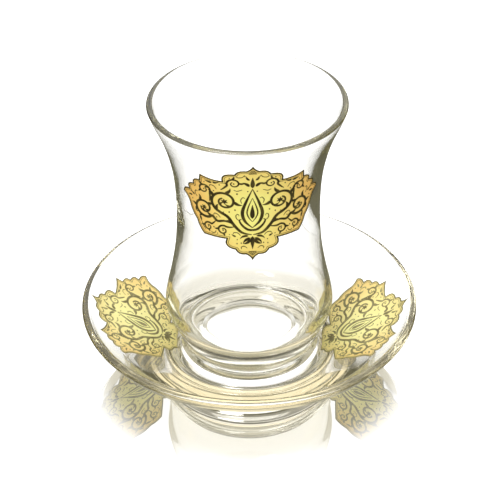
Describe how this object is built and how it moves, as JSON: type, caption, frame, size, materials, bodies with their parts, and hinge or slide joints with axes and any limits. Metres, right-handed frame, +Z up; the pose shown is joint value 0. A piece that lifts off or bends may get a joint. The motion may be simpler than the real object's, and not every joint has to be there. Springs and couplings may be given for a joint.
{
  "type": "tulip tea glass with saucer",
  "caption": "Clear tulip-waisted tea glass standing in the well of a flared clear glass saucer, both decorated with gilt cusped medallions.",
  "frame": {"origin": "centre of the circle on which the saucer's foot ring stands", "axes": "+Z up along the axis of the glass, -Y towards the viewer and the front medallion, +X to the viewer's right"},
  "size_m": [0.109, 0.109, 0.1004],
  "materials": {
    "tea_glass": "clear polished glass with a faint olive-yellow tint at its thick edges",
    "saucer": "clear pressed and polished glass, olive where it is seen edge on",
    "gilt_on_glass": "fired gilt with dark green-black line ornament",
    "gilt_on_saucer": "fired pale gilt with grey-brown line ornament"
  },
  "bodies": {
    "root": {"tea_glass": "tea_glass", "saucer": "saucer", "glass_medallion": "gilt_on_glass", "saucer_medallion_left": "gilt_on_saucer", "saucer_medallion_right": "gilt_on_saucer"}
  },
  "joints": []
}
